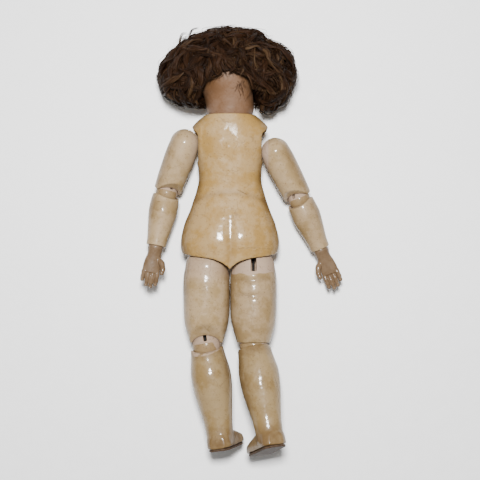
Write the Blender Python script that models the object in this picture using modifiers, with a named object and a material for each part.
"""Strung papier-mache doll, lying face down as it was laid on the table.

Hollow paper shells, loose wooden balls, one arm elastic, one leg elastic hung on the neck hook,
and a curly wig on a cloth cap. Metres. X runs to the doll's right, Y to the head, Z out of the back.
"""

import math

import bmesh
import bpy
from mathutils import Matrix, Vector

# Fits
PAPER_WALL = 0.004
SEAT_GAP = 0.0008
SEAT_BACKING = SEAT_GAP + PAPER_WALL
GLUE_GAP = 0.0003

# Facets
LIMB_SEGMENTS = 14
CORE_SEGMENTS = 8
BALL_SEGMENTS = 12
BACKING_SEGMENTS = 10
SEAT_SEGMENTS = 18
LARGE_SEAT_SEGMENTS = 22
LARGE_SEAT_R = 0.028

# Torso, with heights above the hip line
TORSO_HEIGHT = 0.213
SHOULDER_HEIGHT = 0.172
SHOULDER_HALF = 0.056
CHEST_HALF = 0.045
WAIST_HALF = 0.044
WAIST_HEIGHT = 0.121
BELLY_DEPTH = 0.0385
CHEST_DEPTH = 0.0345
BACK_DEPTH = 0.031
SEAT_DEPTH = 0.040
NECK_RIM_HALF = 0.036
LEG_OPENING_RISE = 0.017
LEG_OPENING_CURVE = 0.013
LEG_OPENING_STEPS = (0.0, 0.1, 0.22, 0.4, 0.7, 2.0)
LEG_OPENING_SLANT = 0.16
LAP_ANGLE = math.radians(72)
CROTCH_DROP = 0.002
CROTCH_WALL = 0.004
HIP_SIDE_WALL = 0.0062
BACK_GROOVE = 0.003
ARM_STANDOFF = 0.0075
ARMHOLE_INSET = 0.001
ARMHOLE_ROOM = 0.003

# Neck and head
NECK_BALL_R = 0.0335
NECK_LIFT = 0.013
NECK_HOLE_R = 0.015
PLUG_HOLE_R = 0.0022
HEAD_HALF_WIDTH = 0.043
HEAD_HALF_HEIGHT = 0.052
HEAD_HALF_DEPTH = 0.047
HEAD_RISE = 0.046
HEAD_FORWARD = 0.006
CROWN_CUT = 0.030
EYE_R = 0.0095
EYE_SPREAD = 0.0175
EYE_HOLE_HALF_HEIGHT = 0.0052
EYE_HOLE_HALF_WIDTH = 0.0078
CAP_CLOTH = 0.0009
CAP_EASE = 0.002
CAP_GRID = (20, 12)
CAP_FIRST_ROW = 7
WIG_EASE = 0.0015
PATE_BOARD = 0.002
HAIR_HALF_WIDTH = 0.098
HAIR_TOP = 0.063
HAIR_BACK = 0.060
HAIR_FRONT = 0.043
HAIR_LOBE_LEFT = 0.042
HAIR_LOBE_RIGHT = 0.066
HAIR_TOP_ROUND = 2.0
HAIR_LOBE_ROUND = 2.7
CURL_DEPTH = 0.055

# Neck hardware
HOOK_WIRE_R = 0.0013
HOOK_DROP = 0.045
HOOK_BOW_R = 0.006
EYE_RING_R = 0.0028
PLUG_TOP = -0.012
SPRING_WIRE_R = 0.0009
SPRING_R = 0.0055
SPRING_TURNS = 3
SPRING_HEIGHT = 0.014
NUT_R = 0.0055
NUT_HEIGHT = 0.004

# Arms
ARM_BALL_R = 0.0205
ARM_R = 0.0215
UPPER_ARM_LENGTH = 0.075
ELBOW_BALL_R = 0.0155
ELBOW_RIM = 0.0035
FOREARM_LENGTH = 0.079
FOREARM_R = 0.0202
WRIST_BALL_R = 0.0108
WRIST_RIM = 0.003
WRIST_WALL = 0.003
HAND_LENGTH = 0.057
PALM_HALF_WIDTH = 0.0125
FINGER_R = 0.0034

# Legs
HIP_BALL_R = 0.030
THIGH_R = 0.0324
THIGH_TAPER = ((0.6, 0.95), (0.74, 0.8), (0.87, 0.42), (1.0, 0.0))
THIGH_LENGTH = 0.108
THIGH_SLOT = 0.0075
KNEE_BALL_R = 0.0195
KNEE_RIM = 0.004
SHIN_LENGTH = 0.145
CALF_HALF = 0.0278
ANKLE_HALF = 0.019
FOOT_LENGTH = 0.076
FOOT_HALF_WIDTH = 0.0205
FOOT_HEIGHT = 0.021
SOLE_THICKNESS = 0.0028
PEG_DROP = 0.046
PEG_R = 0.003

# Stringing
ELASTIC_R = 0.0019
CORD_GAP = 0.0001
CORD_HOLE_R = 0.0042
BALL_SLOT = 0.0046

# Bend cuts: how steeply the rims are cut back on the side the joint folds to
UPPER_CUT_ANGLE = math.radians(46)
LOWER_CUT_ANGLE = math.radians(20)
CUT_START = 0.26

# How the doll lies
HEAD_TILT_BACK = math.radians(7)
HEAD_LEAN = math.radians(6.5)
ARM_LEAN = {"left": math.radians(20.5), "right": math.radians(27)}
ARM_HANG = {"left": -0.002, "right": 0.010}
ARM_DROP = math.radians(12)
ARM_TWIST = math.radians(26)
ELBOW_REST = {"left": math.radians(20), "right": math.radians(8)}
LEG_DROP = {"left": math.radians(-3.5), "right": math.radians(-5)}
THIGH_TURN = {"left": 0.0, "right": math.pi}
KNEE_REST = {"left": math.radians(2), "right": math.radians(-13)}
SHIN_LEAN = {"left": math.radians(9), "right": math.radians(10)}
TOE_TURN = {"left": math.radians(16), "right": math.radians(22)}

SIDES = {"left": -1.0, "right": 1.0}


def reset():
    """Empty the scene and give the collections for parts and cutters."""
    for item in list(bpy.data.objects):
        bpy.data.objects.remove(item)
    made = []
    for name in ("papier_mache_doll", "cutters"):
        group = bpy.data.collections.get(name) or bpy.data.collections.new(name)
        if name not in bpy.context.scene.collection.children:
            bpy.context.scene.collection.children.link(group)
        made.append(group)
    return made


PARTS, CUTTERS = reset()


def material(name, colour, roughness, metallic=0.0):
    """One Principled finish."""
    made = bpy.data.materials.get(name) or bpy.data.materials.new(name)
    made.use_nodes = True
    shader = made.node_tree.nodes["Principled BSDF"]
    shader.inputs["Base Color"].default_value = (*colour, 1.0)
    shader.inputs["Roughness"].default_value = roughness
    shader.inputs["Metallic"].default_value = metallic
    return made


TORSO_PAINT = material("torso_varnish", (0.62, 0.46, 0.25), 0.35)
LIMB_PAINT = material("limb_varnish", (0.66, 0.53, 0.37), 0.35)
FACE_PAINT = material("face_paint", (0.72, 0.47, 0.34), 0.4)
BALL_PAINT = material("ball_paint", (0.70, 0.62, 0.55), 0.5)
SOLE_PAINT = material("sole_board", (0.42, 0.36, 0.33), 0.7)
HAIR = material("brown_hair", (0.10, 0.045, 0.018), 0.45)
CAP = material("cap_cloth", (0.30, 0.24, 0.17), 0.9)
BOARD = material("pate_board", (0.45, 0.36, 0.24), 0.9)
EYE_GLASS = material("eye_glass", (0.10, 0.13, 0.18), 0.08)
WOOD = material("plug_wood", (0.48, 0.33, 0.18), 0.6)
STEEL = material("hook_steel", (0.45, 0.44, 0.42), 0.35, 1.0)
RUBBER = material("elastic_rubber", (0.60, 0.56, 0.48), 0.8)


def add_object(name, mesh, parent, finish=None):
    """Link a mesh as a part with a finish, or as a wire-drawn cutter without one."""
    made = bpy.data.objects.new(name, mesh)
    made.parent = parent
    if finish is None:
        CUTTERS.objects.link(made)
        made.hide_render = True
        made.display_type = "WIRE"
        return made
    PARTS.objects.link(made)
    mesh.materials.append(finish)
    mesh.shade_smooth()
    mesh.set_sharp_from_angle(angle=math.radians(40))
    return made


def from_bmesh(name, shape, parent, finish=None):
    """Turn a bmesh into an object with its faces pointing out."""
    bmesh.ops.recalc_face_normals(shape, faces=shape.faces)
    mesh = bpy.data.meshes.new(name)
    shape.to_mesh(mesh)
    shape.free()
    return add_object(name, mesh, parent, finish)


def boolean(target, tool, operation="DIFFERENCE", solver="EXACT"):
    """Cut a tool out of a target, or join it on."""
    step = target.modifiers.new(f"{operation.lower()}_{tool.name}", "BOOLEAN")
    step.operation = operation
    step.object = tool
    step.solver = solver


def frame(name, parent, place, turn=Matrix.Identity(4)):
    """An empty that carries a joint's place and rest angles."""
    made = bpy.data.objects.new(name, None)
    PARTS.objects.link(made)
    made.parent = parent
    made.matrix_basis = Matrix.Translation(place) @ turn
    made.empty_display_size = 0.01
    return made


def spun(x=0.0, y=0.0, z=0.0):
    """Rotation about Y, then X, then Z."""
    turn_z = Matrix.Rotation(z, 4, "Z")
    turn_x = Matrix.Rotation(x, 4, "X")
    return turn_z @ turn_x @ Matrix.Rotation(y, 4, "Y")


def oval(y, half, front, back, segments, squareness=1.0):
    """A ring of points in the XZ plane at height y, deeper or shallower to the front and back."""
    points = []
    for index in range(segments):
        angle = math.tau * index / segments
        side = math.copysign(abs(math.cos(angle)) ** squareness, math.cos(angle))
        depth = math.copysign(abs(math.sin(angle)) ** squareness, math.sin(angle))
        points.append(Vector((half * side, y, depth * (back if depth > 0 else front))))
    return points


def loft_shape(rings):
    """A closed bmesh through rings of equal count; a ring of one point is a pole."""
    shape = bmesh.new()
    verts = [[shape.verts.new(point) for point in ring] for ring in rings]
    for lower, upper in zip(verts, verts[1:]):
        count = max(len(lower), len(upper))
        for index in range(count):
            after = (index + 1) % count
            corners = [lower[index % len(lower)], lower[after % len(lower)]]
            corners += [upper[after % len(upper)], upper[index % len(upper)]]
            shape.faces.new(list(dict.fromkeys(corners)))
    for end in (verts[0], verts[-1]):
        if len(end) > 2:
            shape.faces.new(end)
    return shape


def ball_rows(radius, steps=4):
    """Rings of a ball from its top pole towards its equator, as limb rows."""
    rows = []
    for step in range(1, steps):
        angle = 0.5 * math.pi * step / steps
        size = radius * math.sin(angle)
        rows.append([-radius * math.cos(angle), size, size, size])
    return rows


def limb(name, rows, parent, segments, finish=None, pole=None):
    """A limb along -Y from rows of (distance, half width, front, back), round-topped if it has a pole."""
    rings = [oval(-row[0], row[1], row[2], row[3], segments) for row in rows]
    if pole is not None:
        rings.insert(0, [Vector((0, pole, 0))])
    return from_bmesh(name, loft_shape(rings), parent, finish)


def ball(name, radius, place, parent, segments=None, finish=None):
    """A sphere with its poles on the limb's axis, finer where it is a large seat."""
    segments = segments or (LARGE_SEAT_SEGMENTS if radius > LARGE_SEAT_R else SEAT_SEGMENTS)
    shape = bmesh.new()
    bmesh.ops.create_uvsphere(shape, u_segments=segments, v_segments=segments // 2, radius=radius)
    bmesh.ops.rotate(shape, verts=shape.verts, matrix=Matrix.Rotation(math.pi / 2, 3, "X"))
    bmesh.ops.translate(shape, verts=shape.verts, vec=place)
    return from_bmesh(name, shape, parent, finish)


def rod(name, radius, start, end, parent, segments=10, finish=None):
    """A round rod between two points."""
    way = Vector(end) - Vector(start)
    shape = bmesh.new()
    bmesh.ops.create_cone(shape, cap_ends=True, segments=segments, radius1=radius, radius2=radius,
                          depth=way.length)
    turn = way.to_track_quat("Z", "Y").to_matrix()
    bmesh.ops.rotate(shape, verts=shape.verts, matrix=turn)
    bmesh.ops.translate(shape, verts=shape.verts, vec=(Vector(start) + Vector(end)) / 2)
    return from_bmesh(name, shape, parent, finish)


def block(name, low, high, parent):
    """A box cutter between two corners."""
    shape = bmesh.new()
    bmesh.ops.create_cube(shape, size=1.0)
    size = Vector(high) - Vector(low)
    bmesh.ops.scale(shape, verts=shape.verts, vec=size)
    bmesh.ops.translate(shape, verts=shape.verts, vec=(Vector(low) + Vector(high)) / 2)
    return from_bmesh(name, shape, parent)


def prism(name, outline, half, parent):
    """A cutter with its outline in the ZY plane, reaching half to each side along X."""
    shape = bmesh.new()
    base = shape.faces.new([shape.verts.new((-half, y, z)) for z, y in outline])
    grown = bmesh.ops.extrude_face_region(shape, geom=[base])
    moved = [item for item in grown["geom"] if isinstance(item, bmesh.types.BMVert)]
    bmesh.ops.translate(shape, verts=moved, vec=(2 * half, 0, 0))
    return from_bmesh(name, shape, parent)


def wire(name, points, radius, parent, finish, sides=2, cyclic=False):
    """A round wire or cord through points."""
    curve = bpy.data.curves.new(name, "CURVE")
    curve.dimensions = "3D"
    curve.bevel_depth = radius
    curve.bevel_resolution = sides
    curve.use_fill_caps = True
    spline = curve.splines.new("POLY")
    spline.points.add(len(points) - 1)
    for knot, point in zip(spline.points, points):
        knot.co = (*point, 1.0)
    spline.use_cyclic_u = cyclic
    made = bpy.data.objects.new(name, curve)
    PARTS.objects.link(made)
    made.parent = parent
    curve.materials.append(finish)
    return made


def cord(name, start, end, parent):
    """A straight stretch of elastic."""
    wire(name, [start, end], ELASTIC_R, parent, RUBBER, 1)


def bend_cut(name, joint_y, radius, rim, angle, upward, parent):
    """A wedge that cuts a rim back on its fold side (+Z); upward is 1 above the joint and -1 below it."""
    start = CUT_START * radius
    reach = 3 * radius
    lead = 0.3 * radius
    outline = [
        (start - lead, joint_y + upward * (rim - lead * math.tan(angle))),
        (start + reach, joint_y + upward * (rim + reach * math.tan(angle))),
        (start + reach, joint_y - upward * reach),
        (start - lead, joint_y - upward * reach),
    ]
    return prism(name, outline, reach, parent)


def cord_hole(target, name, start, end, parent, radius=CORD_HOLE_R):
    """Drill a hole for the elastic."""
    boolean(target, rod(f"{name}_hole", radius, start, end, parent))


# Places that follow from the sizes above
HIP_X = HIP_BALL_R + SEAT_GAP + CROTCH_WALL / 2
HIP_HALF = HIP_X + HIP_BALL_R + HIP_SIDE_WALL
SHOULDER_X = SHOULDER_HALF + ARM_STANDOFF
NECK_Y = TORSO_HEIGHT + NECK_LIFT
CORE_TOP = TORSO_HEIGHT - 2 * PAPER_WALL
HEAD_CENTRE = Vector((0, HEAD_RISE, -HEAD_FORWARD))
NECK_HOLLOW_R = NECK_BALL_R - PAPER_WALL - GLUE_GAP
ARM_Y = {side: SHOULDER_HEIGHT - hang for side, hang in ARM_HANG.items()}


def torso_rows(inset=0.0):
    """Half width, front and back depth of the torso at each height, pulled in by an inset."""
    seat = HIP_BALL_R
    chest = WAIST_HEIGHT + 0.4 * (SHOULDER_HEIGHT - WAIST_HEIGHT)
    top = TORSO_HEIGHT - SHOULDER_HEIGHT
    rows = [
        (-0.2 * seat, HIP_HALF - 0.012, BELLY_DEPTH - 0.004, SEAT_DEPTH - 0.005),
        (0.45 * seat, HIP_HALF - 0.004, BELLY_DEPTH - 0.002, SEAT_DEPTH - 0.0015),
        (1.15 * seat, HIP_HALF, BELLY_DEPTH - 0.001, SEAT_DEPTH),
        (0.5 * WAIST_HEIGHT, HIP_HALF - 0.005, BELLY_DEPTH, SEAT_DEPTH - 0.003),
        (0.72 * WAIST_HEIGHT, WAIST_HALF + 0.0095, BELLY_DEPTH, BACK_DEPTH + 0.003),
        (WAIST_HEIGHT, WAIST_HALF, BELLY_DEPTH - 0.003, BACK_DEPTH - 0.001),
        (chest, CHEST_HALF, CHEST_DEPTH, BACK_DEPTH),
        (SHOULDER_HEIGHT, SHOULDER_HALF - 0.004, CHEST_DEPTH, BACK_DEPTH + 0.001),
        (SHOULDER_HEIGHT + 0.45 * top, SHOULDER_HALF, CHEST_DEPTH - 0.0005, BACK_DEPTH + 0.002),
        (SHOULDER_HEIGHT + 0.72 * top, 0.88 * SHOULDER_HALF, CHEST_DEPTH - 0.001, BACK_DEPTH + 0.002),
        (TORSO_HEIGHT, NECK_RIM_HALF, NECK_RIM_HALF - 0.002, NECK_RIM_HALF - 0.002),
    ]
    return [(row[0], *(size - inset for size in row[1:])) for row in rows]


def grooved(point):
    """Pull a point of the lower back in towards the centre line's soft groove."""
    across = math.exp(-((point.x / (0.1 * HIP_HALF)) ** 2))
    along = math.exp(-(((point.y - 0.35 * SEAT_DEPTH) / (0.75 * SEAT_DEPTH)) ** 2))
    return point - Vector((0, 0, BACK_GROOVE * across * along))


def torso_half(name, root, back):
    """One pressed half of the torso, flat along the glued side seam."""
    segments = 24
    rings = []
    for row in torso_rows():
        ring = oval(row[0], row[1], row[2], row[3], segments, 0.92)
        keep = range(segments // 2 + 1) if back else range(segments // 2, segments + 1)
        half = [ring[index % segments].copy() for index in keep]
        for point in (half[0], half[-1]):
            point.z = GLUE_GAP / 2 if back else -GLUE_GAP / 2
        rings.append([grooved(point) for point in half] if back else half)
    return from_bmesh(name, loft_shape(rings), root, TORSO_PAINT)


def torso_core(root):
    """The hollow of the torso, clear of the seats for neck, arms and legs."""
    low = [1.04 * HIP_BALL_R, HIP_HALF - 2 * PAPER_WALL]
    low += [BELLY_DEPTH - PAPER_WALL, SEAT_DEPTH - 2 * PAPER_WALL]
    inner = [low] + [row for row in torso_rows(PAPER_WALL) if 1.3 * HIP_BALL_R < row[0] < CORE_TOP]
    rings = [oval(row[0], row[1], row[2], row[3], 14, 0.92) for row in inner]
    return from_bmesh("torso_core", loft_shape(rings), root)


def opening_rise(x):
    """How far the edge of a leg opening has risen at a distance from the middle."""
    return LEG_OPENING_RISE * (1 - math.exp(-x / LEG_OPENING_CURVE))


def leg_opening(root):
    """Everything below the two leg openings, whose edges curve up from the crotch to the sides."""
    drop, depth = 3 * HIP_BALL_R, 3 * SEAT_DEPTH
    rings = []
    for z in (-depth, depth):
        middle = -CROTCH_DROP + LEG_OPENING_SLANT * (SEAT_DEPTH - z)
        edge = [(step * HIP_HALF, middle + opening_rise(step * HIP_HALF)) for step in LEG_OPENING_STEPS]
        outline = [(-x, y) for x, y in reversed(edge[1:])] + edge
        outline += [(outline[-1][0], -drop), (outline[0][0], -drop)]
        rings.append([Vector((x, y, z)) for x, y in outline])
    return from_bmesh("leg_opening", loft_shape(rings), root)


def make_torso(root):
    """Both halves, with seats and cord holes for neck, arms and legs."""
    halves = [torso_half("torso_back", root, True), torso_half("torso_front", root, False)]
    core = torso_core(root)
    opening = leg_opening(root)
    seats = [("neck", (0, NECK_Y, 0), NECK_BALL_R)]
    drills = [("neck", NECK_HOLE_R, (0, NECK_Y - 0.5 * NECK_BALL_R, 0), (0, NECK_Y - 1.6 * NECK_BALL_R, 0))]
    for side, sign in SIDES.items():
        seats.append((f"{side}_arm", (sign * SHOULDER_X, ARM_Y[side], 0), ARM_BALL_R))
        seats.append((f"{side}_leg", (sign * HIP_X, 0, 0), HIP_BALL_R))
        start = (sign * (SHOULDER_X - 0.5 * ARM_BALL_R), ARM_Y[side], 0)
        end = (sign * (SHOULDER_X - ARM_BALL_R - 4 * PAPER_WALL), ARM_Y[side], 0)
        drills.append((f"{side}_arm", CORD_HOLE_R, start, end))
        start = (sign * HIP_X, 0.5 * HIP_BALL_R, 0)
        drills.append((f"{side}_leg", CORD_HOLE_R, start, (sign * HIP_X, HIP_BALL_R + 3 * PAPER_WALL, 0)))
    for name, place, radius in seats:
        boolean(core, ball(f"torso_{name}_backing", radius + SEAT_BACKING, place, root, BACKING_SEGMENTS))
    cutters = [core, opening]
    cutters += [ball(f"torso_{name}_seat", radius + SEAT_GAP, place, root) for name, place, radius in seats]
    cutters += [rod(f"torso_{name}_drill", size, start, end, root) for name, size, start, end in drills]
    for side, sign in SIDES.items():
        face = Vector((sign * (CHEST_HALF - ARMHOLE_INSET), SHOULDER_HEIGHT, 0))
        out = Vector((sign * ARM_R, 0, 0))
        cutters.append(rod(f"{side}_armhole", ARM_R + ARMHOLE_ROOM, face, face + out, root, SEAT_SEGMENTS))
        hip = Vector((sign * HIP_X, 0, 0))
        lap = 3 * HIP_BALL_R * Vector((0, -math.cos(LAP_ANGLE), -math.sin(LAP_ANGLE)))
        groove_r = THIGH_R + 2 * SEAT_GAP
        cutters.append(rod(f"{side}_lap_groove", groove_r, hip, hip + lap, root, SEAT_SEGMENTS))
    for half in halves:
        for cutter in cutters:
            boolean(half, cutter, solver="MANIFOLD")


def face_bumps():
    """The raised and sunk places of a plain doll face: direction, spread in radians, height."""
    places = [((0, -0.16, -1), 0.13, 0.0058), ((0, 0.02, -1), 0.11, 0.0022), ((0, -0.50, -1), 0.15, 0.0026)]
    places += [((0, -0.88, -1), 0.20, 0.0036), ((0, -0.40, -1), 0.06, -0.0012)]
    for sign in SIDES.values():
        places.append(((0.50 * sign, -0.40, -0.9), 0.28, 0.0030))
        places.append(((0.42 * sign, 0.05, -1), 0.17, -0.0022))
        places.append(((0.40 * sign, 0.32, -1), 0.16, 0.0012))
        places.append(((sign, -0.10, 0.16), 0.13, 0.0048))
    return [(Vector(way).normalized(), spread, height) for way, spread, height in places]


BUMPS = face_bumps()


def head_reach(way, offset, featured):
    """Distance from the head's centre to its surface in one direction."""
    half = HEAD_HALF_WIDTH * (1 - 0.16 * max(0.0, -way.y) ** 2)
    shares = (way.x / half, way.y / HEAD_HALF_HEIGHT, way.z / HEAD_HALF_DEPTH)
    reach = sum(abs(share) ** 2.15 for share in shares) ** (-1 / 2.15)
    if featured:
        for centre, spread, height in BUMPS:
            reach += height * math.exp(-((way.angle(centre) / spread) ** 2))
    return reach + offset


def head_rings(offset, featured=True, columns=24, rows=15, first=0):
    """Rings of the head from the chin up, closer together at the face."""
    rings = []
    for row in range(first, rows + 1):
        rise = math.pi * (row / rows - 0.5)
        ring = []
        for column in range(columns):
            spin = math.tau * column / columns - math.pi
            turn = spin - 0.4 * math.sin(spin)
            flat = math.cos(rise)
            way = Vector((flat * math.sin(turn), math.sin(rise), -flat * math.cos(turn)))
            ring.append(HEAD_CENTRE + way * head_reach(way, offset, featured))
        rings.append(ring[:1] if row in (0, rows) else ring)
    return rings


def make_head(neck, head):
    """Head, pate, cap, eyes and wig on the head's frame; plug, hook, spring and nut on the neck's."""
    shell = from_bmesh("head_shell", loft_shape(head_rings(0)), head, FACE_PAINT)
    throat = ball("head_neck_ball", NECK_BALL_R, (0, 0, 0), head, LIMB_SEGMENTS)
    boolean(shell, throat, "UNION")
    hollow = from_bmesh("head_hollow", loft_shape(head_rings(-PAPER_WALL, False, 12, 8)), head)
    boolean(hollow, ball("head_neck_hollow", NECK_HOLLOW_R, (0, 0, 0), head, SEAT_SEGMENTS), "UNION")
    boolean(shell, hollow)
    boolean(shell, rod("head_neck_drill", 0.7 * NECK_HOLE_R, (0, -0.4 * NECK_BALL_R, 0),
                       (0, -1.5 * NECK_BALL_R, 0), head))
    wide = 3 * HEAD_HALF_WIDTH
    crown = HEAD_CENTRE.y + CROWN_CUT
    boolean(shell, block("crown_cutter", (-wide, crown, -wide), (wide, crown + wide, wide), head))
    for side, sign in SIDES.items():
        way = Vector((0.42 * sign, 0.05, -1)).normalized()
        surface = HEAD_CENTRE + way * head_reach(way, 0, True)
        centre = Vector((sign * EYE_SPREAD, surface.y, surface.z + EYE_R + GLUE_GAP))
        ball(f"{side}_eye", EYE_R, centre, head, BALL_SEGMENTS - 2, EYE_GLASS)
        boolean(shell, ball(f"{side}_eye_seat", EYE_R + SEAT_GAP, centre, head, BALL_SEGMENTS))
        opening = ball(f"{side}_eye_opening", 1.0, (0, 0, 0), head, 12)
        opening.matrix_basis = Matrix.Translation(centre - Vector((0, 0, EYE_R))) @ Matrix.Diagonal(
            (EYE_HOLE_HALF_WIDTH, EYE_HOLE_HALF_HEIGHT, EYE_R, 1))
        boolean(shell, opening)
    pate = from_bmesh("pate", loft_shape(head_rings(0, False, 18, 12)), head, BOARD)
    boolean(pate, block("pate_trim", (-wide, crown - wide, -wide), (wide, crown + GLUE_GAP, wide), head))
    boolean(pate, from_bmesh("pate_hollow", loft_shape(head_rings(-PATE_BOARD, False, 12, 8)), head))
    make_cap_and_wig(head)
    make_neck_hardware(neck)


def make_cap_and_wig(head):
    """The cloth cap over the crown, and the full curly wig that is sewn to it."""
    rings = head_rings(CAP_EASE, False, *CAP_GRID, CAP_FIRST_ROW)
    sheet = loft_shape(rings)
    bmesh.ops.delete(sheet, geom=[face for face in sheet.faces if len(face.verts) > 4], context="FACES_ONLY")
    cap = from_bmesh("wig_cap", sheet, head, CAP)
    thick = cap.modifiers.new("cloth", "SOLIDIFY")
    thick.thickness = CAP_CLOTH
    thick.offset = 1.0
    wig = from_bmesh("wig_hair", loft_shape(wig_rings()), head, HAIR)
    inside = head_rings(CAP_EASE + CAP_CLOTH + WIG_EASE)
    boolean(wig, from_bmesh("wig_inside", loft_shape(inside), head), solver="MANIFOLD")
    boolean(wig, ball("wig_neck", NECK_BALL_R + PAPER_WALL, (0, 0, 0), head), solver="MANIFOLD")
    for name, place, size in (
        ("nape_opening", (0, -0.78, 0.95), (0.97, 0.82, 1.2)),
        ("face_opening", (0, -0.45, -1.1), (0.86, 0.95, 0.8)),
        ("neck_opening", (0, -1.25, 0), (1.15, 0.75, 1.1)),
    ):
        tool = ball(name, 1.0, (0, 0, 0), head, 12)
        spot = Vector((place[0] * HEAD_HALF_WIDTH, place[1] * HEAD_HALF_HEIGHT, place[2] * HEAD_HALF_DEPTH))
        shape = (size[0] * HEAD_HALF_WIDTH, size[1] * HEAD_HALF_HEIGHT, size[2] * HEAD_HALF_DEPTH, 1)
        tool.matrix_basis = Matrix.Translation(HEAD_CENTRE + spot) @ Matrix.Diagonal(shape)
        boolean(wig, tool, solver="MANIFOLD")


def wig_rings(columns=24, rows=12):
    """The outside of the wig: a wide bob with a lobe over each ear, waved by its curls."""
    rings = []
    for row in range(rows + 1):
        rise = math.pi * (row / rows - 0.5)
        ring = []
        for column in range(columns):
            turn = math.tau * column / columns
            flat = math.cos(rise)
            way = Vector((flat * math.sin(turn), math.sin(rise), flat * math.cos(turn)))
            lobe = HAIR_LOBE_RIGHT if way.x > 0 else HAIR_LOBE_LEFT
            tall = HAIR_TOP if way.y > 0 else lobe
            deep = HAIR_BACK if way.z > 0 else HAIR_FRONT
            power = HAIR_TOP_ROUND if way.y > 0 else HAIR_LOBE_ROUND
            shares = (way.x / HAIR_HALF_WIDTH, way.y / tall, way.z / deep)
            reach = sum(abs(share) ** power for share in shares) ** (-1 / power)
            curls = math.sin(7 * turn + 3 * rise) * math.cos(6 * rise + 0.8 * math.sin(2 * turn))
            ring.append(HEAD_CENTRE + way * reach * (1 + CURL_DEPTH * flat * curls))
        rings.append(ring[:1] if row in (0, rows) else ring)
    return rings


def arc(centre, radius, start, end, steps):
    """Points round an arc in the YZ plane, angles counted from -Z towards +Y."""
    points = []
    for step in range(steps + 1):
        angle = start + (end - start) * step / steps
        points.append(Vector(centre) + radius * Vector((0, math.sin(angle), -math.cos(angle))))
    return points


def make_neck_hardware(neck):
    """The turned plug in the neck, and the sprung hook that the leg elastic hangs on."""
    plug = ball("neck_plug", NECK_HOLLOW_R - SEAT_GAP, (0, 0, 0), neck, BALL_SEGMENTS, WOOD)
    wide = 2 * NECK_BALL_R
    boolean(plug, block("plug_trim", (-wide, PLUG_TOP, -wide), (wide, wide, wide), neck))
    boolean(plug, rod("plug_drill", PLUG_HOLE_R, (0, PLUG_TOP + wide, 0), (0, -wide, 0), neck))
    spring_foot = PLUG_TOP + SPRING_WIRE_R + GLUE_GAP
    turns = []
    for step in range(6 * SPRING_TURNS + 1):
        angle = math.tau * step / 6
        rise = SPRING_HEIGHT * step / (6 * SPRING_TURNS)
        turns.append((SPRING_R * math.cos(angle), spring_foot + rise, SPRING_R * math.sin(angle)))
    wire("neck_spring", turns, SPRING_WIRE_R, neck, STEEL, 1)
    nut_foot = spring_foot + SPRING_HEIGHT + SPRING_WIRE_R + GLUE_GAP
    nut_top = nut_foot + NUT_HEIGHT
    nut = rod("neck_nut", NUT_R + SPRING_WIRE_R, (0, nut_foot, 0), (0, nut_top, 0), neck, 6, STEEL)
    boolean(nut, rod("nut_drill", HOOK_WIRE_R + GLUE_GAP, (0, nut_foot - NUT_HEIGHT, 0),
                     (0, nut_top + NUT_HEIGHT, 0), neck, 10))
    bow = (0, HOOK_BOW_R - HOOK_DROP, -HOOK_BOW_R)
    points = [Vector((0, nut_top + HOOK_WIRE_R, 0))]
    points += arc(bow, HOOK_BOW_R, math.pi, math.tau, 8)
    wire("neck_hook", points, HOOK_WIRE_R, neck, STEEL)


def round_row(position, radius):
    """A limb row with a round section."""
    return (position, radius, radius, radius)


def inset(rows, wall):
    """Limb rows pulled in by a wall."""
    return [(row[0], *(size - wall for size in row[1:])) for row in rows]


def tube(name, points, radii, parent, segments=6):
    """A tapered finger along points, closed by a flat root and a round tip."""
    rings = []
    points = [Vector(point) for point in points]
    way = (points[-1] - points[-2]).normalized()
    points.append(points[-1] + 0.7 * radii[-1] * way)
    radii = [*radii, 0.65 * radii[-1]]
    for index, (point, radius) in enumerate(zip(points, radii)):
        before, after = points[max(index - 1, 0)], points[min(index + 1, len(points) - 1)]
        turn = (after - before).to_track_quat("Y", "Z").to_matrix()
        rings.append([point + turn @ spot for spot in oval(0, radius, radius, radius, segments)])
    rings.append([points[-1] + 0.3 * radii[-2] * way])
    return from_bmesh(name, loft_shape(rings), parent)


def jointed_ball(name, radius, parent):
    """A loose wooden ball, drilled for the elastic and slotted towards the fold."""
    made = ball(name, radius, (0, 0, 0), parent, BALL_SEGMENTS, BALL_PAINT)
    cord_hole(made, name, (0, 1.5 * radius, 0), (0, -1.5 * radius, 0), parent, 0.5 * BALL_SLOT)
    half = BALL_SLOT / 2
    slot = block(f"{name}_slot", (-half, 0.3 * radius, 0), (half, 2 * radius, 2 * radius), parent)
    boolean(made, slot)
    cord(f"{name}_elastic", (0, radius - GLUE_GAP, 0), (0, GLUE_GAP - radius, 0), parent)
    return made


def ball_limb(name, ball_r, rows, wall, parent, finish=LIMB_PAINT):
    """A hollow limb with a round top, and the hollow itself."""
    made = limb(name, ball_rows(ball_r) + rows, parent, LIMB_SEGMENTS, finish, ball_r)
    inner = ball_rows(ball_r - wall, 4) + inset(rows, wall)
    core = limb(f"{name}_core", inner, parent, CORE_SEGMENTS, None, ball_r - wall)
    return made, core


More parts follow.
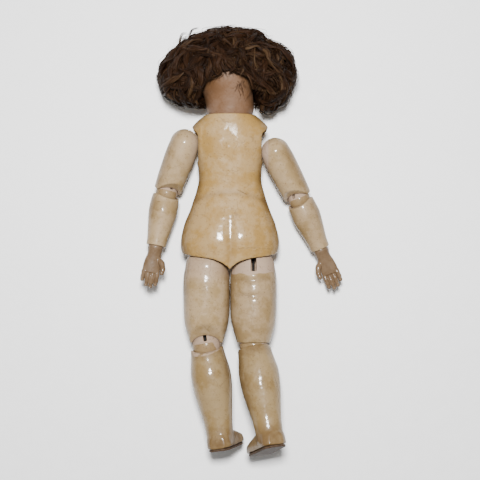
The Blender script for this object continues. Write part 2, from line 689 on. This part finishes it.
def make_upper_arm(side, sign, arm, shoulder):
    """The upper arm: a ball at the shoulder and a dished lower end, slotted where the elastic comes in."""
    name = f"{side}_upper_arm"
    rim_r = ELBOW_BALL_R + SEAT_GAP + 0.75 * PAPER_WALL
    end = UPPER_ARM_LENGTH - ELBOW_RIM
    rows = [round_row(0, ARM_BALL_R), round_row(0.2 * end, ARM_R), round_row(0.55 * end, ARM_R - 0.0006),
            round_row(0.84 * end, rim_r + 0.0008), round_row(end, rim_r)]
    made, core = ball_limb(name, ARM_BALL_R, rows, PAPER_WALL, arm)
    joint = (0, -UPPER_ARM_LENGTH, 0)
    boolean(core, ball(f"{name}_backing", ELBOW_BALL_R + SEAT_BACKING, joint, arm, BACKING_SEGMENTS))
    boolean(made, core)
    boolean(made, ball(f"{name}_seat", ELBOW_BALL_R + SEAT_GAP, joint, arm))
    cord_hole(made, name, joint, (0, -UPPER_ARM_LENGTH + 2 * ELBOW_BALL_R, 0), arm)
    boolean(made, bend_cut(f"{name}_fold", joint[1], ELBOW_BALL_R, ELBOW_RIM, UPPER_CUT_ANGLE, 1, arm))
    half = ELASTIC_R + 2 * SEAT_GAP
    low = (min(-sign * 2 * ARM_BALL_R, sign * half), -half, -half)
    high = (max(-sign * 2 * ARM_BALL_R, sign * half), 2 * ARM_BALL_R, half)
    boolean(made, block(f"{name}_cord_slot", low, high, shoulder))
    cord(f"{name}_elastic", (0, -ELASTIC_R, 0), (0, ELBOW_BALL_R + CORD_GAP - UPPER_ARM_LENGTH, 0), arm)


def make_forearm(side, elbow):
    """The forearm: dished at both ends, for the elbow ball and the ball of the hand."""
    name = f"{side}_forearm"
    rim_r = ELBOW_BALL_R + SEAT_GAP + 0.6 * PAPER_WALL
    wrist_r = WRIST_BALL_R + SEAT_GAP + 0.75 * WRIST_WALL
    end = FOREARM_LENGTH - WRIST_RIM
    rows = [round_row(ELBOW_RIM, rim_r), round_row(0.18 * end, 0.98 * FOREARM_R),
            round_row(0.36 * end, FOREARM_R), round_row(0.64 * end, 0.5 * (FOREARM_R + wrist_r)),
            round_row(0.87 * end, 1.04 * wrist_r), round_row(end, wrist_r)]
    made = limb(name, rows, elbow, LIMB_SEGMENTS, LIMB_PAINT)
    core = limb(f"{name}_core", inset(rows, PAPER_WALL), elbow, CORE_SEGMENTS)
    wrist = (0, -FOREARM_LENGTH, 0)
    boolean(core, ball(f"{name}_elbow_backing", ELBOW_BALL_R + SEAT_BACKING, (0, 0, 0), elbow,
                       BACKING_SEGMENTS))
    boolean(core, ball(f"{name}_wrist_backing", WRIST_BALL_R + SEAT_GAP + WRIST_WALL, wrist, elbow,
                       BACKING_SEGMENTS))
    boolean(made, core)
    boolean(made, ball(f"{name}_elbow_seat", ELBOW_BALL_R + SEAT_GAP, (0, 0, 0), elbow))
    boolean(made, ball(f"{name}_wrist_seat", WRIST_BALL_R + SEAT_GAP, wrist, elbow, BALL_SEGMENTS + 2))
    cord_hole(made, f"{name}_elbow", (0, 0, 0), (0, -2 * ELBOW_BALL_R, 0), elbow)
    cord_hole(made, f"{name}_wrist", wrist, (0, 2.4 * WRIST_BALL_R - FOREARM_LENGTH, 0), elbow,
              EYE_RING_R + 2 * HOOK_WIRE_R)
    boolean(made, bend_cut(f"{name}_fold", 0, ELBOW_BALL_R, ELBOW_RIM, LOWER_CUT_ANGLE, -1, elbow))
    ring_top = WRIST_BALL_R + 2 * EYE_RING_R + 3 * HOOK_WIRE_R + GLUE_GAP
    cord(f"{name}_elastic", (0, -ELBOW_BALL_R - GLUE_GAP, 0), (0, ring_top - FOREARM_LENGTH, 0), elbow)


def make_hand(side, sign, wrist):
    """The hand on its wrist ball, fingers a little curled, and the wire eye that the elastic hooks to."""
    name = f"{side}_hand"
    rows = [round_row(0, WRIST_BALL_R), (0.17 * HAND_LENGTH, 0.78 * PALM_HALF_WIDTH, 0.0078, 0.0078),
            (0.32 * HAND_LENGTH, 0.92 * PALM_HALF_WIDTH, 0.0070, 0.0062),
            (0.48 * HAND_LENGTH, PALM_HALF_WIDTH, 0.0062, 0.0052),
            (0.62 * HAND_LENGTH, 0.96 * PALM_HALF_WIDTH, 0.0044, 0.0040)]
    made = limb(name, ball_rows(WRIST_BALL_R, 4) + rows, wrist, BALL_SEGMENTS, LIMB_PAINT, WRIST_BALL_R)
    thumb = -sign
    pitch = 2 * (PALM_HALF_WIDTH - FINGER_R) / 3
    for number, reach in enumerate((0.93, 1.0, 0.97, 0.86)):
        x = thumb * (1.5 - number) * pitch
        points = [(0.95 * x, -0.52 * HAND_LENGTH, 0), (1.04 * x, -0.72 * reach * HAND_LENGTH, 0),
                  (1.08 * x, -0.88 * reach * HAND_LENGTH, 1.2 * FINGER_R),
                  (1.06 * x, -0.97 * reach * HAND_LENGTH, 2.8 * FINGER_R)]
        radii = [FINGER_R, FINGER_R, 0.9 * FINGER_R, 0.8 * FINGER_R]
        boolean(made, tube(f"{name}_finger_{number}", points, radii, wrist), "UNION")
    points = [(0.45 * thumb * PALM_HALF_WIDTH, -0.26 * HAND_LENGTH, 0.0),
              (1.02 * thumb * PALM_HALF_WIDTH, -0.36 * HAND_LENGTH, 1.2 * FINGER_R),
              (1.28 * thumb * PALM_HALF_WIDTH, -0.50 * HAND_LENGTH, 2.2 * FINGER_R),
              (1.25 * thumb * PALM_HALF_WIDTH, -0.60 * HAND_LENGTH, 2.6 * FINGER_R)]
    radii = [1.3 * FINGER_R, 1.25 * FINGER_R, 1.05 * FINGER_R, 0.85 * FINGER_R]
    boolean(made, tube(f"{name}_thumb", points, radii, wrist), "UNION")
    shank = HOOK_WIRE_R + GLUE_GAP
    cord_hole(made, name, (0, 2 * WRIST_BALL_R, 0), (0, -0.5 * WRIST_BALL_R, 0), wrist, shank)
    centre = (0, WRIST_BALL_R + EYE_RING_R + 2 * HOOK_WIRE_R, 0)
    points = [Vector((0, GLUE_GAP - 0.5 * WRIST_BALL_R, 0))]
    points += arc(centre, EYE_RING_R, 1.5 * math.pi, 3.2 * math.pi, 10)
    wire(f"{side}_hand_hook", points, HOOK_WIRE_R, wrist, STEEL, 1)


def make_arm(side, sign, root):
    """One arm from shoulder to fingertips, with its stretch of elastic."""
    place = (sign * SHOULDER_X, ARM_Y[side], 0)
    swing = frame(f"{side}_shoulder_swing", root, place, spun(x=ARM_DROP))
    shoulder = frame(f"{side}_shoulder", swing, (0, 0, 0), spun(z=sign * ARM_LEAN[side]))
    arm = frame(f"{side}_arm", shoulder, (0, 0, 0), spun(y=-sign * ARM_TWIST))
    elbow = frame(f"{side}_elbow", arm, (0, -UPPER_ARM_LENGTH, 0), spun(x=-ELBOW_REST[side]))
    wrist = frame(f"{side}_wrist", elbow, (0, -FOREARM_LENGTH, 0), spun(y=sign * ARM_TWIST))
    outer = (sign * (SHOULDER_X - ELASTIC_R / 2), ARM_Y[side], 0)
    inner = (sign * (SHOULDER_X - ARM_BALL_R + GLUE_GAP), ARM_Y[side], 0)
    cord(f"{side}_shoulder_elastic", inner, outer, root)
    make_upper_arm(side, sign, arm, shoulder)
    jointed_ball(f"{side}_elbow_ball", ELBOW_BALL_R, elbow)
    make_forearm(side, elbow)
    make_hand(side, sign, wrist)


def make_thigh(side, hip):
    """The thigh: hip ball with its sitting slot in front, and a dished knee end cut back behind."""
    name = f"{side}_thigh"
    rim_r = KNEE_BALL_R + SEAT_GAP + 0.65 * PAPER_WALL
    end = THIGH_LENGTH - KNEE_RIM
    swell = THIGH_R - rim_r
    rows = [round_row(0, HIP_BALL_R), round_row(0.15 * end, THIGH_R)]
    for share, fullness in THIGH_TAPER:
        rows.append(round_row(share * end, rim_r + fullness * swell))
    made, core = ball_limb(name, HIP_BALL_R, rows, PAPER_WALL, hip)
    joint = (0, -THIGH_LENGTH, 0)
    boolean(core, ball(f"{name}_backing", KNEE_BALL_R + SEAT_BACKING, joint, hip, BACKING_SEGMENTS))
    boolean(made, core)
    boolean(made, ball(f"{name}_seat", KNEE_BALL_R + SEAT_GAP, joint, hip))
    cord_hole(made, name, joint, (0, 2 * KNEE_BALL_R - THIGH_LENGTH, 0), hip)
    boolean(made, bend_cut(f"{name}_fold", joint[1], KNEE_BALL_R, KNEE_RIM, UPPER_CUT_ANGLE, 1, hip))
    half = THIGH_SLOT / 2
    boolean(made, block(f"{name}_slot", (-half, -0.2 * HIP_BALL_R, -2 * HIP_BALL_R),
                        (half, 2 * HIP_BALL_R, half), hip))
    cord(f"{side}_hip_elastic", (0, HIP_BALL_R - GLUE_GAP, 0), (0, GLUE_GAP, 0), hip)
    cord(f"{name}_elastic", (0, -GLUE_GAP, 0), (0, KNEE_BALL_R + GLUE_GAP - THIGH_LENGTH, 0), hip)


def foot_rows():
    """Half width and height of the foot at places from the heel to the toes."""
    shares = [(0.0, 0.50, 0.80), (0.10, 0.82, 1.15), (0.30, 0.86, 1.30), (0.52, 0.92, 1.10),
              (0.76, 1.0, 0.80), (0.93, 0.84, 0.64), (1.0, 0.50, 0.50)]
    heel = 1.08 * ANKLE_HALF
    rows = []
    for share, wide, high in shares:
        rows.append((heel - share * FOOT_LENGTH, wide * FOOT_HALF_WIDTH, high * FOOT_HEIGHT))
    return rows


def make_shin(side, knee, fold):
    """The shin with its foot, the glued sole, and the peg that the leg elastic is looped on."""
    name = f"{side}_shin"
    rim_r = KNEE_BALL_R + SEAT_GAP + 0.65 * PAPER_WALL
    rows = [round_row(KNEE_RIM, rim_r),
            (0.12 * SHIN_LENGTH, 0.88 * CALF_HALF, 0.86 * CALF_HALF, 0.92 * CALF_HALF),
            (0.27 * SHIN_LENGTH, CALF_HALF, 0.88 * CALF_HALF, 1.05 * CALF_HALF),
            (0.42 * SHIN_LENGTH, 0.97 * CALF_HALF, 0.85 * CALF_HALF, CALF_HALF),
            (0.58 * SHIN_LENGTH, 0.5 * (CALF_HALF + ANKLE_HALF), 1.08 * ANKLE_HALF, 1.22 * ANKLE_HALF),
            (0.72 * SHIN_LENGTH, 1.06 * ANKLE_HALF, 0.97 * ANKLE_HALF, 1.05 * ANKLE_HALF),
            (0.83 * SHIN_LENGTH, ANKLE_HALF, 0.95 * ANKLE_HALF, 1.02 * ANKLE_HALF),
            (0.93 * SHIN_LENGTH, ANKLE_HALF, ANKLE_HALF, ANKLE_HALF)]
    made = limb(name, rows, knee, LIMB_SEGMENTS, LIMB_PAINT)
    floor = SOLE_THICKNESS + GLUE_GAP - SHIN_LENGTH
    welt = 0.15 * FOOT_HEIGHT
    rings = []
    for z, half, high in foot_rows():
        ring = oval(z, half, welt, high - welt, 12, 0.85)
        rings.append([Vector((spot.x, floor + welt + spot.z, z)) for spot in ring])
    boolean(made, from_bmesh(f"{name}_foot", loft_shape(rings), knee), "UNION")
    core = limb(f"{name}_core", inset(rows[:-1], PAPER_WALL), knee, CORE_SEGMENTS)
    boolean(core, ball(f"{name}_backing", KNEE_BALL_R + SEAT_BACKING, (0, 0, 0), knee, BACKING_SEGMENTS))
    boolean(made, core)
    boolean(made, ball(f"{name}_seat", KNEE_BALL_R + SEAT_GAP, (0, 0, 0), knee))
    cord_hole(made, name, (0, 0, 0), (0, -2 * KNEE_BALL_R, 0), knee)
    boolean(made, bend_cut(f"{name}_fold", 0, KNEE_BALL_R, KNEE_RIM, LOWER_CUT_ANGLE, -1, fold))
    reach = CALF_HALF - 0.6 * PAPER_WALL
    socket = reach + GLUE_GAP
    ends = (-socket, -PEG_DROP, 0), (socket, -PEG_DROP, 0)
    boolean(made, rod(f"{name}_peg_socket", PEG_R + GLUE_GAP, *ends, knee))
    rod(f"{side}_shin_peg", PEG_R, (-reach, -PEG_DROP, 0), (reach, -PEG_DROP, 0), knee, 12, WOOD)
    cord(f"{name}_elastic", (0, -KNEE_BALL_R - GLUE_GAP, 0), (0, PEG_R + GLUE_GAP - PEG_DROP, 0), knee)
    outline = [(half, z) for z, half, high in foot_rows()]
    outline += [(-half, z) for half, z in reversed(outline)]
    rings = [[Vector((x, y, z)) for x, z in outline] for y in (-SHIN_LENGTH, floor - GLUE_GAP)]
    from_bmesh(f"{side}_sole", loft_shape(rings), knee, SOLE_PAINT)


def make_leg(side, sign, root):
    """One leg from hip to sole; the knee lies as the thigh is turned, the shin as the toes point."""
    hip = frame(f"{side}_hip", root, (sign * HIP_X, 0, 0), spun(x=LEG_DROP[side], y=THIGH_TURN[side]))
    facing = math.cos(THIGH_TURN[side])
    bend = spun(x=-KNEE_REST[side], z=facing * SHIN_LEAN[side])
    knee = frame(f"{side}_knee", hip, (0, -THIGH_LENGTH, 0), bend)
    shin = frame(f"{side}_shin_turn", knee, (0, 0, 0), spun(y=sign * TOE_TURN[side] - THIGH_TURN[side]))
    make_thigh(side, hip)
    jointed_ball(f"{side}_knee_ball", KNEE_BALL_R, knee)
    make_shin(side, shin, knee)


def make_torso_elastics(root, neck):
    """The arm elastic across the chest, and the leg elastic from hip to hip over the neck hook."""
    reach = SHOULDER_X - ARM_BALL_R
    cord("arm_elastic", (-reach, ARM_Y["left"], 0), (reach, ARM_Y["right"], 0), root)
    hang = neck.matrix_basis @ Vector((0, HOOK_WIRE_R + ELASTIC_R + 2 * GLUE_GAP - HOOK_DROP, -HOOK_BOW_R))
    foot = HIP_BALL_R + SEAT_GAP
    rise = foot + 3 * PAPER_WALL
    saddle = 3 * HOOK_WIRE_R
    points = [(-HIP_X, foot, 0), (-HIP_X, rise, 0), hang + Vector((-2 * saddle, -2 * saddle, 0)),
              hang + Vector((-saddle, 0, 0)), hang + Vector((saddle, 0, 0)),
              hang + Vector((2 * saddle, -2 * saddle, 0)), (HIP_X, rise, 0), (HIP_X, foot, 0)]
    wire("leg_elastic", points, ELASTIC_R, root, RUBBER)


def rest_on_table(root):
    """Move the whole doll so that it lies on Z = 0 with its outline centred on the origin."""
    bpy.context.view_layer.update()
    graph = bpy.context.evaluated_depsgraph_get()
    corners = []
    for item in PARTS.objects:
        if item.type == "EMPTY":
            continue
        shown = item.evaluated_get(graph)
        mesh = shown.to_mesh()
        corners += [item.matrix_world @ vert.co for vert in mesh.vertices]
        shown.to_mesh_clear()
    low = [min(corner[axis] for corner in corners) for axis in range(3)]
    high = [max(corner[axis] for corner in corners) for axis in range(3)]
    root.location = (-(low[0] + high[0]) / 2, -(low[1] + high[1]) / 2, -low[2])
    bpy.context.view_layer.update()


def main():
    """Build the doll from the torso outwards."""
    root = frame("doll", None, (0, 0, 0))
    neck = frame("neck", root, (0, NECK_Y, 0), spun(x=HEAD_TILT_BACK, z=HEAD_LEAN))
    head = frame("head", neck, (0, 0, 0))
    make_torso(root)
    make_head(neck, head)
    for side, sign in SIDES.items():
        make_arm(side, sign, root)
        make_leg(side, sign, root)
    make_torso_elastics(root, neck)
    rest_on_table(root)


main()
